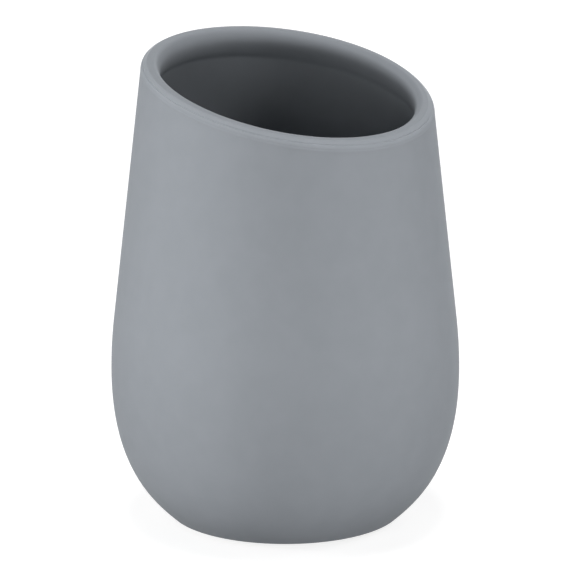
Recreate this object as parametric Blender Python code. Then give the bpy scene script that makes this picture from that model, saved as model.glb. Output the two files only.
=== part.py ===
"""Toothbrush holder: a slip-cast ceramic tumbler with a slanted mouth and a rolled lip.

It stands on four soft pads that are stuck in the recess of its foot. Lengths are in metres, with +Z
up. The origin lies on the table, under the tumbler's axis. The mouth climbs towards +Y, the back.
"""

import math

import bmesh
import bpy
from mathutils import Vector
from mathutils.geometry import interpolate_bezier

# Outside of the tumbler, with heights counted from its foot
BELLY_RADIUS = 0.0400            # the widest place
BELLY_HEIGHT = 0.0338
FOOT_RADIUS = 0.0265             # where the bowl leaves the foot
FOOT_FLARE = math.radians(42.5)  # angle there between the bowl and the table
FOOT_HANDLE_SHARE = 0.18         # handles of the bowl's curve, as shares of the belly's height
BELLY_HANDLE_SHARE = 0.66
NECK_HEIGHT = 0.0121             # an arc leads from the upright belly into the taper
TAPER = math.radians(6.4)        # lean of the straight wall above it

# Mouth and lip
MOUTH_HEIGHT = 0.1022            # top of the lip over the axis, from the foot
MOUTH_TILT = math.radians(12.4)
MOUTH_ARC = 0.950                # radius of the mouth's very slight crown
LIP_OUTER_ROUND = 0.00235
LIP_INNER_ROUND = 0.00195
LIP_DEPTH = 0.0058               # the thick lip ends this far below its top
LIP_STEP = 0.0010                # height of the step from the lip back to the thinner wall

# Cavity and foot
WALL = 0.0035
FLOOR_THICKNESS = 0.0045
FOOT_RING_WIDTH = 0.0040
RECESS_DEPTH = 0.0015            # hollow inside the foot ring

# Pads, stuck to the top of the recess
PAD_RADIUS = 0.0045
PAD_EDGE_ROUND = 0.0004
PAD_PROUD = 0.0008               # they stand this far below the foot ring
PAD_INSET = 0.0008               # clearance between a pad and the recess's side
SEAT_GAP = 0.0003                # what the glue fills
PAD_ANGLES = {
    "pad_back_right": math.radians(45),
    "pad_back_left": math.radians(135),
    "pad_front_left": math.radians(225),
    "pad_front_right": math.radians(315),
}

# Finishes, as linear colours
COAT_COLOUR = (0.29, 0.32, 0.36)
COAT_ROUGHNESS = 0.6
PAD_COLOUR = (0.55, 0.56, 0.57)
PAD_ROUGHNESS = 0.5

# Fineness of the meshes
TUMBLER_SIDES = 60
BOWL_STEPS = 48
OUTSIDE_STEPS = 24
LIP_STEPS = 4
INSIDE_STEPS = 16
LIP_SEARCH_ROUNDS = 6
PAD_SIDES = 24
PAD_ROUND_STEPS = 2
SHARP_ANGLE = math.radians(35)

# Worked out from the sizes above
NECK_ARC = NECK_HEIGHT / math.sin(TAPER)
NECK_TOP = BELLY_HEIGHT + NECK_HEIGHT
NECK_RADIUS = BELLY_RADIUS - NECK_ARC * (1 - math.cos(TAPER))
FLOOR_TOP = RECESS_DEPTH + FLOOR_THICKNESS
RECESS_RADIUS = FOOT_RADIUS - FOOT_RING_WIDTH
PAD_CIRCLE = RECESS_RADIUS - PAD_INSET - PAD_RADIUS
PAD_THICKNESS = PAD_PROUD + RECESS_DEPTH - SEAT_GAP


def bowl_curve():
    """Points of the outside as (radius, height), from the foot's edge up to the belly."""
    foot = Vector((FOOT_RADIUS, 0))
    belly = Vector((BELLY_RADIUS, BELLY_HEIGHT))
    flare = Vector((math.cos(FOOT_FLARE), math.sin(FOOT_FLARE)))
    foot_handle = foot + flare * BELLY_HEIGHT * FOOT_HANDLE_SHARE
    belly_handle = belly - Vector((0, BELLY_HEIGHT * BELLY_HANDLE_SHARE))
    return interpolate_bezier(foot, foot_handle, belly_handle, belly, BOWL_STEPS)


BOWL = bowl_curve()


def outside_radius(height):
    """Radius of the tumbler's outside: a curved bowl, a short arc and a straight taper."""
    if height >= NECK_TOP:
        return NECK_RADIUS - (height - NECK_TOP) * math.tan(TAPER)
    if height >= BELLY_HEIGHT:
        rise = height - BELLY_HEIGHT
        return BELLY_RADIUS - NECK_ARC + math.sqrt(NECK_ARC ** 2 - rise ** 2)
    for low, high in zip(BOWL, BOWL[1:]):
        if height <= high.y:
            return low.x + (high.x - low.x) * (height - low.y) / (high.y - low.y)
    return BELLY_RADIUS


def inside_radius(height):
    """Radius of the cavity. Below the belly it draws in as the outside does, but from the raised floor."""
    matching_height = height
    if height < BELLY_HEIGHT:
        matching_height = BELLY_HEIGHT * (height - FLOOR_TOP) / (BELLY_HEIGHT - FLOOR_TOP)
    return outside_radius(matching_height) - WALL


def mouth_height(y):
    """Height of the lip's top: the slanted mouth, with its slight crown."""
    return MOUTH_HEIGHT + y * math.tan(MOUTH_TILT) - y ** 2 / (2 * MOUTH_ARC)


def lip_top_radius(angle):
    """Distance from the axis to the lip's top, found in rounds because it depends on the wall's height."""
    radius = BELLY_RADIUS
    for _ in range(LIP_SEARCH_ROUNDS):
        wall_top = mouth_height(radius * math.sin(angle)) - LIP_OUTER_ROUND
        radius = outside_radius(wall_top) - LIP_OUTER_ROUND
    return radius


def lip_point(angle, radius, drop):
    """A point (radius, height) of the section, this far below the slanted mouth."""
    return radius, mouth_height(radius * math.sin(angle)) - drop


def section(angle):
    """The wall's section at one angle round the axis, as points (radius, height).

    It runs from the recess of the foot up the outside, over the lip and down to the floor.
    """
    points = [(RECESS_RADIUS, RECESS_DEPTH), (RECESS_RADIUS, 0)]

    top_radius = lip_top_radius(angle)
    wall_top = lip_point(angle, top_radius + LIP_OUTER_ROUND, LIP_OUTER_ROUND)[1]
    for step in range(OUTSIDE_STEPS):
        height = wall_top * step / OUTSIDE_STEPS
        points.append((outside_radius(height), height))

    for step in range(LIP_STEPS):
        turn = math.pi / 2 * step / LIP_STEPS
        radius = top_radius + LIP_OUTER_ROUND * math.cos(turn)
        points.append(lip_point(angle, radius, LIP_OUTER_ROUND * (1 - math.sin(turn))))
    for step in range(LIP_STEPS + 1):
        turn = math.pi / 2 * step / LIP_STEPS
        radius = top_radius - LIP_INNER_ROUND * math.sin(turn)
        points.append(lip_point(angle, radius, LIP_INNER_ROUND * (1 - math.cos(turn))))
    lip_foot_radius = top_radius - LIP_INNER_ROUND + (LIP_DEPTH - LIP_INNER_ROUND) * math.tan(TAPER)
    points.append(lip_point(angle, lip_foot_radius, LIP_DEPTH))

    inside_top = lip_point(angle, lip_foot_radius, LIP_DEPTH + LIP_STEP)[1]
    for step in range(INSIDE_STEPS + 1):
        height = inside_top + (FLOOR_TOP - inside_top) * step / INSIDE_STEPS
        points.append((inside_radius(height), height))
    return points


def finished_mesh(bm, name):
    """Turns an edit mesh into a mesh that is shaded smooth, with its corners left sharp."""
    mesh = bpy.data.meshes.new(name)
    bm.to_mesh(mesh)
    bm.free()
    mesh.shade_smooth()
    mesh.set_sharp_from_angle(angle=SHARP_ANGLE)
    return mesh


def tumbler_mesh():
    """The one-piece tumbler, made of sections side by side round its axis."""
    bm = bmesh.new()
    columns = []
    for side in range(TUMBLER_SIDES):
        angle = math.tau * side / TUMBLER_SIDES
        column = [
            bm.verts.new((radius * math.cos(angle), radius * math.sin(angle), height))
            for radius, height in section(angle)
        ]
        columns.append(column)
    for column, beside in zip(columns, columns[1:] + columns[:1]):
        for low in range(len(column) - 1):
            bm.faces.new((column[low], beside[low], beside[low + 1], column[low + 1]))
    bm.faces.new(column[0] for column in reversed(columns))
    bm.faces.new(column[-1] for column in columns)
    bmesh.ops.recalc_face_normals(bm, faces=bm.faces)
    return finished_mesh(bm, "tumbler")


def pad_mesh():
    """A soft round pad, standing on its origin, with its lower edge rounded."""
    bm = bmesh.new()
    bmesh.ops.create_cone(
        bm, cap_ends=True, segments=PAD_SIDES, radius1=PAD_RADIUS, radius2=PAD_RADIUS, depth=PAD_THICKNESS
    )
    bmesh.ops.translate(bm, verts=bm.verts, vec=(0, 0, PAD_THICKNESS / 2))
    lower_rim = [edge for edge in bm.edges if max(vert.co.z for vert in edge.verts) < PAD_THICKNESS / 2]
    bmesh.ops.bevel(
        bm, geom=lower_rim, offset=PAD_EDGE_ROUND, segments=PAD_ROUND_STEPS, profile=0.5, affect="EDGES"
    )
    return finished_mesh(bm, "pad")


def material(name, colour, roughness):
    """A plain finish without metal in it."""
    finish = bpy.data.materials.new(name)
    finish.use_nodes = True
    shader = finish.node_tree.nodes["Principled BSDF"]
    shader.inputs["Base Color"].default_value = (*colour, 1)
    shader.inputs["Metallic"].default_value = 0
    shader.inputs["Roughness"].default_value = roughness
    return finish


def place(name, mesh, location, parent):
    """Puts one named piece of the holder in the scene."""
    piece = bpy.data.objects.new(name, mesh)
    piece.location = location
    piece.parent = parent
    bpy.context.scene.collection.objects.link(piece)
    return piece


for leftover in list(bpy.data.objects):
    bpy.data.objects.remove(leftover)

holder = place("toothbrush_holder", None, (0, 0, 0), None)

tumbler = tumbler_mesh()
tumbler.materials.append(material("soft_matt_coat", COAT_COLOUR, COAT_ROUGHNESS))
place("tumbler", tumbler, (0, 0, PAD_PROUD), holder)

pad = pad_mesh()
for name, angle in PAD_ANGLES.items():
    own_pad = pad.copy()
    own_pad.materials.append(material(name + "_rubber", PAD_COLOUR, PAD_ROUGHNESS))
    place(name, own_pad, (PAD_CIRCLE * math.cos(angle), PAD_CIRCLE * math.sin(angle), 0), holder)
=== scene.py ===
import math

import bpy
from mathutils import Euler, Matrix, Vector
from mathutils.geometry import interpolate_bezier


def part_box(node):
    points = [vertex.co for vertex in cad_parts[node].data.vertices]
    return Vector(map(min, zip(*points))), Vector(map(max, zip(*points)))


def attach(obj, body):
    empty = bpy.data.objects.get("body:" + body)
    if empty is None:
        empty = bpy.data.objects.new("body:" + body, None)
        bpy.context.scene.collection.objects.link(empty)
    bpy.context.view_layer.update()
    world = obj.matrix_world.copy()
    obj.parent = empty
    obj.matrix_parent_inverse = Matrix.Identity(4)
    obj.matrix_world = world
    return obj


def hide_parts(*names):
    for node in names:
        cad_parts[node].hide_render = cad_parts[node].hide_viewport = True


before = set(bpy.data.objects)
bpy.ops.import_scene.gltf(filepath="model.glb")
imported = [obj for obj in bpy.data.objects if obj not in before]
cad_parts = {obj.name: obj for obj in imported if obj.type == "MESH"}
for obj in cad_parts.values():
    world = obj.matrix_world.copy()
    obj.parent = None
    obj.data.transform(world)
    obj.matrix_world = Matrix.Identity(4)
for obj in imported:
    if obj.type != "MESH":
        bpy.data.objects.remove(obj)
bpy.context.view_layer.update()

# The tumbler: one slip-cast stoneware cup, cast upright in a two-part plaster mould, trimmed at a slant
# and sponged round at its lip and foot, fired, and then sprayed with a soft-touch matt lacquer. Its wall
# ends in a thicker lip, which stands a millimetre into the cavity and softly falls back to its wall.
SIDES = 192
FOOT_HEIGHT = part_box("tumbler")[0].z  # the pads hold the foot this far above the table
BELLY_RADIUS = 0.0400            # the widest place
BELLY_HEIGHT = 0.0338            # this and the other heights are counted from the foot
FOOT_RADIUS = 0.0265             # where the bowl leaves the foot
FOOT_FLARE = math.radians(42.5)  # angle there between the bowl and the table
FOOT_HANDLE_SHARE = 0.18         # handles of the bowl's curve, as shares of the belly's height
BELLY_HANDLE_SHARE = 0.66
NECK_HEIGHT = 0.0121             # an arc leads from the upright belly into the taper
TAPER = math.radians(6.4)        # lean of the straight wall above it
NECK_ARC = NECK_HEIGHT / math.sin(TAPER)
NECK_TOP = BELLY_HEIGHT + NECK_HEIGHT
NECK_RADIUS = BELLY_RADIUS - NECK_ARC * (1 - math.cos(TAPER))
MOUTH_HEIGHT = 0.1022            # top of the lip over the axis
MOUTH_TILT = math.radians(12.4)
WALL = 0.0035
SAME_PLACE = 0.000001            # points that lie this close count as one
SHARP_ANGLE = math.radians(30)   # edges that turn more than this are shaded as corners


def bowl_points(foot_radius, foot_level, belly_radius, steps):
    """The curve of a bowl as (radius, height), from its foot or floor up to the belly."""
    share = (BELLY_HEIGHT - foot_level) / BELLY_HEIGHT
    flare = Vector((math.cos(FOOT_FLARE), math.sin(FOOT_FLARE) * share))
    foot = Vector((foot_radius, foot_level))
    foot_handle = foot + flare * BELLY_HEIGHT * FOOT_HANDLE_SHARE
    belly = Vector((belly_radius, BELLY_HEIGHT))
    belly_handle = belly - Vector((0, BELLY_HEIGHT * BELLY_HANDLE_SHARE * share))
    curve = interpolate_bezier(foot, foot_handle, belly_handle, belly, steps)
    return [tuple(point) for point in curve]


def neck_points(inset, steps):
    """The arc from the belly into the taper, and a last point on the taper well above the mouth."""
    points = []
    for step in range(1, steps + 1):
        turn = TAPER * step / steps
        radius = BELLY_RADIUS - NECK_ARC * (1 - math.cos(turn)) - inset
        points.append((radius, BELLY_HEIGHT + NECK_ARC * math.sin(turn)))
    top = MOUTH_HEIGHT + BELLY_RADIUS
    points.append((NECK_RADIUS - inset - (top - NECK_TOP) * math.tan(TAPER), top))
    return points


def turned_shell(name, points):
    """Draws the edge of a filled circle through the points, ring by ring, and stays in edit mode."""
    bpy.ops.object.select_all(action="DESELECT")
    radius, height = points[0]
    bpy.ops.mesh.primitive_circle_add(
        vertices=SIDES, radius=radius, fill_type="NGON", location=(0, 0, FOOT_HEIGHT + height)
    )
    shell = bpy.context.object
    shell.name = name
    bpy.ops.object.transform_apply(location=True)
    bpy.ops.object.mode_set(mode="EDIT")
    bpy.ops.mesh.select_mode(type="EDGE")
    bpy.ops.mesh.select_all(action="SELECT")
    for next_radius, next_height in points[1:]:
        bpy.ops.mesh.extrude_edges_move(TRANSFORM_OT_translate={"value": (0, 0, next_height - height)})
        share = next_radius / radius
        centre = (0, 0, FOOT_HEIGHT + next_height)
        bpy.ops.transform.resize(value=(share, share, 1), center_override=centre)
        radius, height = next_radius, next_height
    return shell


def round_ring(shell, radius, height, offset, segments):
    """Rounds the ring of edges of a shell in edit mode that lies at this radius and height."""
    bpy.ops.mesh.select_all(action="DESELECT")
    bpy.ops.object.mode_set(mode="OBJECT")
    for edge in shell.data.edges:
        ends = [shell.data.vertices[number].co for number in edge.vertices]
        edge.select = all(
            abs(end.xy.length - radius) < SAME_PLACE and abs(end.z - FOOT_HEIGHT - height) < SAME_PLACE
            for end in ends
        )
    bpy.ops.object.mode_set(mode="EDIT")
    bpy.ops.mesh.bevel(offset=offset, segments=segments, affect="EDGES")


def mouth_point(drop):
    """Where a plane along the slanted mouth, this far below the lip's top, meets the axis."""
    return Vector((0, 0, FOOT_HEIGHT + MOUTH_HEIGHT - drop))


def cut_slanted(drop, clear):
    """Cuts the shell in edit mode along such a plane, and takes off what is above it if asked to."""
    normal = Vector((0, -math.sin(MOUTH_TILT), math.cos(MOUTH_TILT)))
    bpy.ops.mesh.select_all(action="SELECT")
    bpy.ops.mesh.bisect(plane_co=mouth_point(drop), plane_no=normal, clear_outer=clear)


# The foot ring and the outside, trimmed at the slant, with slanted rings below the trim that hold the
# wall's shading
RECESS_RADIUS = 0.0225           # the hollow inside the foot ring
RECESS_DEPTH = 0.0015
FOOT_CORNERS = (                 # radius, height, and how far and in how many steps each is rounded
    (RECESS_RADIUS, RECESS_DEPTH, 0.0006, 4),
    (RECESS_RADIUS, 0, 0.0005, 4),
    (FOOT_RADIUS, 0, 0.0012, 5),
)
BOWL_STEPS = 40
NECK_STEPS = 8
LIP_OUTER_ROUND = 0.00235        # the wall is trimmed this far below the lip's top
RINGS_BELOW_TRIM = (0.0006, 0.0018, 0.0050, 0.0120, 0.0250, 0.0400)
outside = [(RECESS_RADIUS, RECESS_DEPTH), (RECESS_RADIUS, 0)]
outside += bowl_points(FOOT_RADIUS, 0, BELLY_RADIUS, BOWL_STEPS) + neck_points(0, NECK_STEPS)
tumbler = turned_shell("tumbler_shell", outside)
for corner in FOOT_CORNERS:
    round_ring(tumbler, *corner)
cut_slanted(LIP_OUTER_ROUND, True)
for depth in RINGS_BELOW_TRIM:
    cut_slanted(LIP_OUTER_ROUND + depth, False)

# The lip, as (inset from the wall's trimmed edge, drop below the lip's top, tip): over its outer round,
# which is a little fuller than an ellipse and has a fine bead and two fine creases from trimming and
# sponging, then over the deeper inner round and softly back to the cavity's wall. The sponge left the
# inner round leaner at one side and fuller at the other, so its rings are tipped a little and then back.
LIP_FULLNESS = 2.35              # exponent of the outer round, which is 2 for an ellipse
LIP_REACH = 0.00255              # width of the outer round
LIP_INNER_ROUND = 0.00195        # width of the inner round
LIP_INNER_FALL = 0.0028          # its depth
LIP_TIP = 0.0003                 # how far the leaner side is tipped down, and the other up
LEANER_SIDE = math.radians(-42.5)  # its direction from +X, which is to the right in the photograph
LIP_END = 0.0074                 # drop at which the lip has reached the cavity's wall
WAVES = (                        # level on the round and spread in degrees, and how far it stands out
    (70, 5, 0.00008),
    (41, 3.5, -0.00014),
    (15, 3, -0.00004),
)
OUTER_ROUND_DEGREES = 90         # a ring for each
INNER_ROUND_STEPS = 24
FALL_STEPS = 20
FALL_EASE = 0.75                 # share of the fall after which it turns into the cavity's wall
lip = []
for degree in range(1, OUTER_ROUND_DEGREES + 1):
    wave = sum(height * math.exp(-((degree - level) / spread) ** 2) for level, spread, height in WAVES)
    turn = math.radians(degree)
    outwards = max(math.cos(turn), 0) ** (2 / LIP_FULLNESS)
    upwards = math.sin(turn) ** (2 / LIP_FULLNESS)
    inset = LIP_REACH - (LIP_REACH + wave) * outwards
    lip.append((inset, LIP_OUTER_ROUND - (LIP_OUTER_ROUND + wave) * upwards, 0))
for step in range(1, INNER_ROUND_STEPS + 1):
    turn = math.pi / 2 * step / INNER_ROUND_STEPS
    drop = LIP_INNER_FALL * (1 - math.cos(turn))
    tip = LIP_TIP * math.sin(math.pi * math.sin(turn)) ** 2
    lip.append((LIP_REACH + LIP_INNER_ROUND * math.sin(turn), drop, tip))
inner_edge = lip[-1][0]
lip_end = WALL - (LIP_END - LIP_OUTER_ROUND) * math.tan(TAPER)
for step in range(1, FALL_STEPS + 1):
    share = step / FALL_STEPS
    if share < FALL_EASE:
        sweep = share ** 2 / FALL_EASE
    else:
        sweep = 1 - (1 - share) ** 2 / (1 - FALL_EASE)
    drop = LIP_INNER_FALL + (LIP_END - LIP_INNER_FALL) * share
    lip.append((inner_edge + (lip_end - inner_edge) * sweep, drop, 0))

rim_radius = NECK_RADIUS - (MOUTH_HEIGHT - LIP_OUTER_ROUND - NECK_TOP) * math.tan(TAPER)
inset, drop, tip = 0, LIP_OUTER_ROUND, 0
bpy.ops.mesh.select_all(action="DESELECT")
bpy.ops.mesh.select_non_manifold()
for next_inset, next_drop, next_tip in lip:
    bpy.ops.mesh.extrude_edges_move(TRANSFORM_OT_translate={"value": (0, 0, drop - next_drop)})
    share = (rim_radius - next_inset) / (rim_radius - inset)
    centre = mouth_point(next_drop)
    bpy.ops.transform.resize(value=(share, share, share), center_override=centre)
    if next_tip != tip:
        turn = (next_tip - tip) / rim_radius
        # Without a window, rotate turns the other way than its angle says
        for axis, angle in (("X", turn * math.sin(LEANER_SIDE)), ("Y", -turn * math.cos(LEANER_SIDE))):
            bpy.ops.transform.rotate(value=angle, orient_axis=axis, center_override=centre)
    inset, drop, tip = next_inset, next_drop, next_tip
bpy.ops.object.mode_set(mode="OBJECT")

# The cavity, drained and sponged to a soft corner at its floor, with a ring below its top to hold the
# shading of the lip's soft end
FLOOR_HEIGHT = 0.0060
FLOOR_CORNER_ROUND = 0.0050
FLOOR_CORNER_STEPS = 8
CAVITY_BOWL_STEPS = 24
CAVITY_NECK_STEPS = 6
RING_BELOW_LIP = 0.0008
inside = bowl_points(FOOT_RADIUS - WALL, FLOOR_HEIGHT, BELLY_RADIUS - WALL, CAVITY_BOWL_STEPS)
inside += neck_points(WALL, CAVITY_NECK_STEPS)
cavity = turned_shell("cavity", inside)
round_ring(cavity, FOOT_RADIUS - WALL, FLOOR_HEIGHT, FLOOR_CORNER_ROUND, FLOOR_CORNER_STEPS)
cut_slanted(LIP_END, True)
cut_slanted(LIP_END + RING_BELOW_LIP, False)
bpy.ops.object.mode_set(mode="OBJECT")


def pick(*pieces):
    """Selects these pieces alone, and makes the last of them the active one."""
    bpy.ops.object.select_all(action="DESELECT")
    for piece in pieces:
        piece.select_set(True)
    bpy.context.view_layer.objects.active = pieces[-1]


# Lip and cavity become one skin, and its faces are turned outwards
pick(cavity, tumbler)
bpy.ops.object.join()
bpy.ops.object.mode_set(mode="EDIT")
bpy.ops.mesh.select_all(action="DESELECT")
bpy.ops.mesh.select_non_manifold()
bpy.ops.mesh.remove_doubles(threshold=SAME_PLACE)
bpy.ops.mesh.select_all(action="SELECT")
bpy.ops.mesh.normals_make_consistent(inside=False)
bpy.ops.object.mode_set(mode="OBJECT")

# Trimming leaves the mouth a little lower at its front and back than a flat cut. A lattice carries that
# arc in five rows, a rim's radius apart. Its B-spline follows the arc exactly from the second row to the
# fourth, over nearly all of the mouth, because a third of the rows' distance squared is taken off first.
MOUTH_ARC = 0.950                # radius of the arc
MOUTH_ROWS = 5
LATTICE_BOTTOM = 0.050           # the arc begins to grow this far above the table
LATTICE_TOP = 0.085              # and is whole from here up
bpy.ops.object.select_all(action="DESELECT")
bpy.ops.object.add(type="LATTICE", location=(0, 0, (LATTICE_BOTTOM + LATTICE_TOP) / 2))
lattice = bpy.context.object
lattice.scale = (2 * rim_radius, (MOUTH_ROWS - 1) * rim_radius, LATTICE_TOP - LATTICE_BOTTOM)
lattice.data.points_v = MOUTH_ROWS
lattice.data.interpolation_type_w = "KEY_LINEAR"
for point in lattice.data.points:
    if point.co.z > 0:
        along = point.co.y * lattice.scale.y
        fall = (along ** 2 - rim_radius ** 2 / 3) / (2 * MOUTH_ARC)
        point.co_deform.z -= fall / lattice.scale.z
pick(tumbler)
crown = tumbler.modifiers.new("crown", "LATTICE")
crown.object = lattice
bpy.ops.object.modifier_apply(modifier=crown.name)
bpy.data.objects.remove(lattice)
bpy.ops.object.shade_smooth_by_angle(angle=SHARP_ANGLE)


def linear(hex_colour):
    """An sRGB colour such as #8C9299 as the linear values that a shader takes."""
    channels = [int(hex_colour[place:place + 2], 16) / 255 for place in (1, 3, 5)]
    return (*[c / 12.92 if c <= 0.04045 else ((c + 0.055) / 1.055) ** 2.4 for c in channels], 1)


def add_node(tree, kind, settings, inputs):
    """Adds a node, makes its settings, and sets each input to a value or links it to a socket."""
    node = tree.nodes.new(kind)
    for name, value in settings.items():
        setattr(node, name, value)
    for name, value in inputs.items():
        if isinstance(value, bpy.types.NodeSocket):
            tree.links.new(value, node.inputs[name])
        else:
            node.inputs[name].default_value = value
    return node


# Soft-touch polyurethane lacquer, sprayed on in two thin coats: an even blue grey without gloss, in
# which the lamps show as broad soft bands. Its flattening grains are some 30 micrometres wide, too fine
# to show, so they are drawn at 0.4 mm. The coats' thickness varies the tone over 5 mm, hardly visibly.
COAT_COLOUR = "#91959B"
COAT_THIN_COLOUR = "#8A8F94"
SPRAY_PATCH = 0.005
GRAIN = 0.0004
GRAIN_RELIEF = 0.000006
MIX_FROM = 6                     # numbers of a mix node's sockets that hold colours
MIX_TO = 7
MIX_RESULT = 2
lacquer = bpy.data.materials.new("soft_touch_lacquer")
lacquer.use_nodes = True
tree = lacquer.node_tree
place = add_node(tree, "ShaderNodeTexCoord", {}, {}).outputs["Object"]
spray = {"Vector": place, "Scale": 1 / SPRAY_PATCH, "Detail": 3}
patches = add_node(tree, "ShaderNodeTexNoise", {}, spray).outputs["Fac"]
colours = {"Factor": patches, MIX_FROM: linear(COAT_THIN_COLOUR), MIX_TO: linear(COAT_COLOUR)}
tone = add_node(tree, "ShaderNodeMix", {"data_type": "RGBA"}, colours)
flattening = {"Vector": place, "Scale": 1 / GRAIN, "Detail": 1}
grains = add_node(tree, "ShaderNodeTexNoise", {}, flattening).outputs["Fac"]
relief = {"Height": grains, "Strength": 1, "Distance": GRAIN_RELIEF}
bump = add_node(tree, "ShaderNodeBump", {}, relief)
shader = tree.nodes["Principled BSDF"]
shader.inputs["Roughness"].default_value = 0.7
shader.inputs["IOR"].default_value = 1.4
shader.inputs["Specular IOR Level"].default_value = 0.25
tree.links.new(tone.outputs[MIX_RESULT], shader.inputs["Base Color"])
tree.links.new(bump.outputs["Normal"], shader.inputs["Normal"])
tumbler.data.materials.append(lacquer)

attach(tumbler, "root")
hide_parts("tumbler")

# The pads: four soft round feet, punched with a rounded lower edge from milky silicone sheet. Each is
# stuck in the foot's recess by its own adhesive, and stands a little below the foot ring.
PAD_NODES = ("pad_front_left", "pad_front_right", "pad_back_left", "pad_back_right")
PAD_RADIUS = 0.0045
PAD_SIDES = 48
PAD_EDGE_ROUND = 0.0004
PAD_EDGE_STEPS = 4

# Silicone, moulded as sheet: milky, with faint clouds some 2 mm wide and a soft shine. Light goes not
# quite a millimetre into it.
SILICONE_COLOUR = "#CDCFD0"
SILICONE_CLOUD_COLOUR = "#C3C5C6"
CLOUD = 0.002
LIGHT_REACH = 0.0008
silicone = bpy.data.materials.new("milky_silicone")
silicone.use_nodes = True
tree = silicone.node_tree
place = add_node(tree, "ShaderNodeTexCoord", {}, {}).outputs["Object"]
cloudiness = {"Vector": place, "Scale": 1 / CLOUD, "Detail": 2}
clouds = add_node(tree, "ShaderNodeTexNoise", {}, cloudiness).outputs["Fac"]
colours = {"Factor": clouds, MIX_FROM: linear(SILICONE_CLOUD_COLOUR), MIX_TO: linear(SILICONE_COLOUR)}
tone = add_node(tree, "ShaderNodeMix", {"data_type": "RGBA"}, colours)
shader = tree.nodes["Principled BSDF"]
shader.inputs["Roughness"].default_value = 0.45
shader.inputs["IOR"].default_value = 1.41
shader.inputs["Subsurface Weight"].default_value = 0.3
shader.inputs["Subsurface Radius"].default_value = (1, 1, 1)
shader.inputs["Subsurface Scale"].default_value = LIGHT_REACH
tree.links.new(tone.outputs[MIX_RESULT], shader.inputs["Base Color"])

# One pad is punched at the place of the first, and copied to the places of the others
low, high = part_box(PAD_NODES[0])
first_place = (low + high) / 2
bpy.ops.object.select_all(action="DESELECT")
bpy.ops.mesh.primitive_cylinder_add(
    vertices=PAD_SIDES, radius=PAD_RADIUS, depth=high.z - low.z, location=first_place
)
first_pad = bpy.context.object
bpy.ops.object.transform_apply(location=True)
for edge in first_pad.data.edges:
    edge.select = all(first_pad.data.vertices[end].co.z < first_place.z for end in edge.vertices)
for face in first_pad.data.polygons:
    face.select = False
bpy.ops.object.mode_set(mode="EDIT")
bpy.ops.mesh.bevel(offset=PAD_EDGE_ROUND, segments=PAD_EDGE_STEPS, affect="EDGES")
bpy.ops.object.mode_set(mode="OBJECT")
bpy.ops.object.shade_smooth_by_angle(angle=SHARP_ANGLE)
first_pad.data.materials.append(silicone)

# Each other pad is a copy of the first, moved to its own place and named for its node
for node in PAD_NODES:
    pad = first_pad
    if node != PAD_NODES[0]:
        pick(first_pad)
        bpy.ops.object.duplicate()
        pad = bpy.context.object
        low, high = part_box(node)
        bpy.ops.transform.translate(value=(low + high) / 2 - first_place)
        bpy.ops.object.transform_apply(location=True)
    pad.name = node + "_silicone"
    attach(pad, "root")
    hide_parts(node)

# The table: a plain white sheet, which the camera and the reflections see as white but for the shadow
# that the holder casts on it. For the rest of the light it is a dull grey.
SHEET_SIZE = 6
SHEET_GLOW = 0.82
SHEET_SEEN_COLOUR = "#A0A0A0"
SHEET_DULL_COLOUR = "#808080"
bpy.ops.object.select_all(action="DESELECT")
bpy.ops.mesh.primitive_plane_add(size=SHEET_SIZE, location=(0, 0, 0))
floor = bpy.context.object
floor.name = "floor"


def is_seen(tree):
    """1 for what the camera sees, also mirrored or through something clear, and 0 for other light."""
    rays = add_node(tree, "ShaderNodeLightPath", {}, {})
    seen = rays.outputs["Is Camera Ray"]
    for kind in ("Is Glossy Ray", "Is Transmission Ray"):
        either = {0: seen, 1: rays.outputs[kind]}
        seen = add_node(tree, "ShaderNodeMath", {"operation": "MAXIMUM"}, either).outputs[0]
    return seen


sheet = bpy.data.materials.new("white_sheet")
sheet.use_nodes = True
tree = sheet.node_tree
tree.nodes.remove(tree.nodes["Principled BSDF"])
dull = add_node(tree, "ShaderNodeBsdfDiffuse", {}, {"Color": linear(SHEET_DULL_COLOUR)})
glow = add_node(tree, "ShaderNodeEmission", {}, {"Strength": SHEET_GLOW})
pale = add_node(tree, "ShaderNodeBsdfDiffuse", {}, {"Color": linear(SHEET_SEEN_COLOUR)})
both = add_node(tree, "ShaderNodeAddShader", {}, {0: glow.outputs[0], 1: pale.outputs[0]})
look = {"Fac": is_seen(tree), 1: dull.outputs[0], 2: both.outputs[0]}
mixed = add_node(tree, "ShaderNodeMixShader", {}, look)
tree.links.new(mixed.outputs[0], tree.nodes["Material Output"].inputs["Surface"])
floor.data.materials.append(sheet)

# The studio: soft boxes round the table, and a dim room that the camera sees as white. The camera stands
# where the photograph was taken.
ROOM_LIGHT = 0.015
world = bpy.data.worlds.new("room")
bpy.context.scene.world = world
world.use_nodes = True
tree = world.node_tree
strengths = {"Value": is_seen(tree), "To Min": ROOM_LIGHT, "To Max": 1.0}
strength = add_node(tree, "ShaderNodeMapRange", {}, strengths)
tree.links.new(strength.outputs[0], tree.nodes["Background"].inputs["Strength"])
tree.nodes["Background"].inputs["Color"].default_value = (1, 1, 1, 1)

HOLDER_MIDDLE = Vector((0, 0, 0.055))
CAMERA_AZIMUTH = math.radians(-42.5)


def towards(azimuth, elevation):
    """The direction from the holder to a place in the studio, with azimuth 0 at the side of -Y."""
    level = math.cos(elevation)
    return Vector((math.sin(azimuth) * level, -math.cos(azimuth) * level, math.sin(elevation)))


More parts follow.
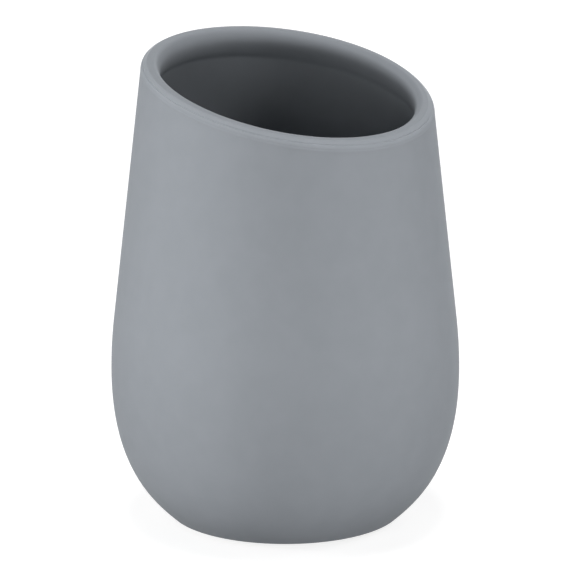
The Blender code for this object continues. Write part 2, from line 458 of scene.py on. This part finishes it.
# Name, degrees to the right of the camera, elevation, distance, width, height and power of each soft box
SOFT_BOXES = (
    ("low_front_box", -15, -2.7, 0.40, 0.104, 0.07, 0.67),
    ("low_right_box", 75, -2.7, 0.40, 0.104, 0.07, 0.66),
    ("left_box", -80, 15, 0.42, 0.150, 0.12, 0.38),
    ("front_box", -20, 15, 0.42, 0.150, 0.12, 0.28),
    ("near_left_box", -80, 8.6, 0.30, 0.100, 0.05, 0.23),
    ("raised_right_box", 80, 35, 0.42, 0.150, 0.12, 0.35),
    ("top_box", 0, 89, 1.0, 0.40, 0.30, 7.0),
    ("back_box", 180, 8, 1.0, 0.60, 0.30, 4.0),
)
for name, turn, elevation, distance, width, height, power in SOFT_BOXES:
    away = towards(CAMERA_AZIMUTH + math.radians(turn), math.radians(elevation))
    lamp_data = bpy.data.lights.new(name, "AREA")
    lamp_data.shape = "RECTANGLE"
    lamp_data.size = width
    lamp_data.size_y = height
    lamp_data.energy = power
    lamp = bpy.data.objects.new(name, lamp_data)
    bpy.context.scene.collection.objects.link(lamp)
    lamp.location = HOLDER_MIDDLE + away * distance
    lamp.rotation_euler = away.to_track_quat("Z", "Y").to_euler()

PICTURE_PIXELS = 570
FOCAL_PIXELS = 4368              # focal length, in the picture's pixels
CAMERA_DISTANCE = 1.0
CAMERA_REACH = 10                # beyond the far edge of the table's sheet
CAMERA_ELEVATION = math.radians(15.4)
AIM = Vector((-0.00005, 0.00005, 0.05453))
camera_data = bpy.data.cameras.new("camera")
camera = bpy.data.objects.new("camera", camera_data)
bpy.context.scene.collection.objects.link(camera)
bpy.context.scene.camera = camera
camera_data.lens = camera_data.sensor_width * FOCAL_PIXELS / PICTURE_PIXELS
camera_data.clip_end = CAMERA_REACH
camera.location = AIM + towards(CAMERA_AZIMUTH, CAMERA_ELEVATION) * CAMERA_DISTANCE
camera.rotation_euler = Euler((math.pi / 2 - CAMERA_ELEVATION, 0, CAMERA_AZIMUTH))

bpy.context.scene.view_settings.view_transform = "Standard"
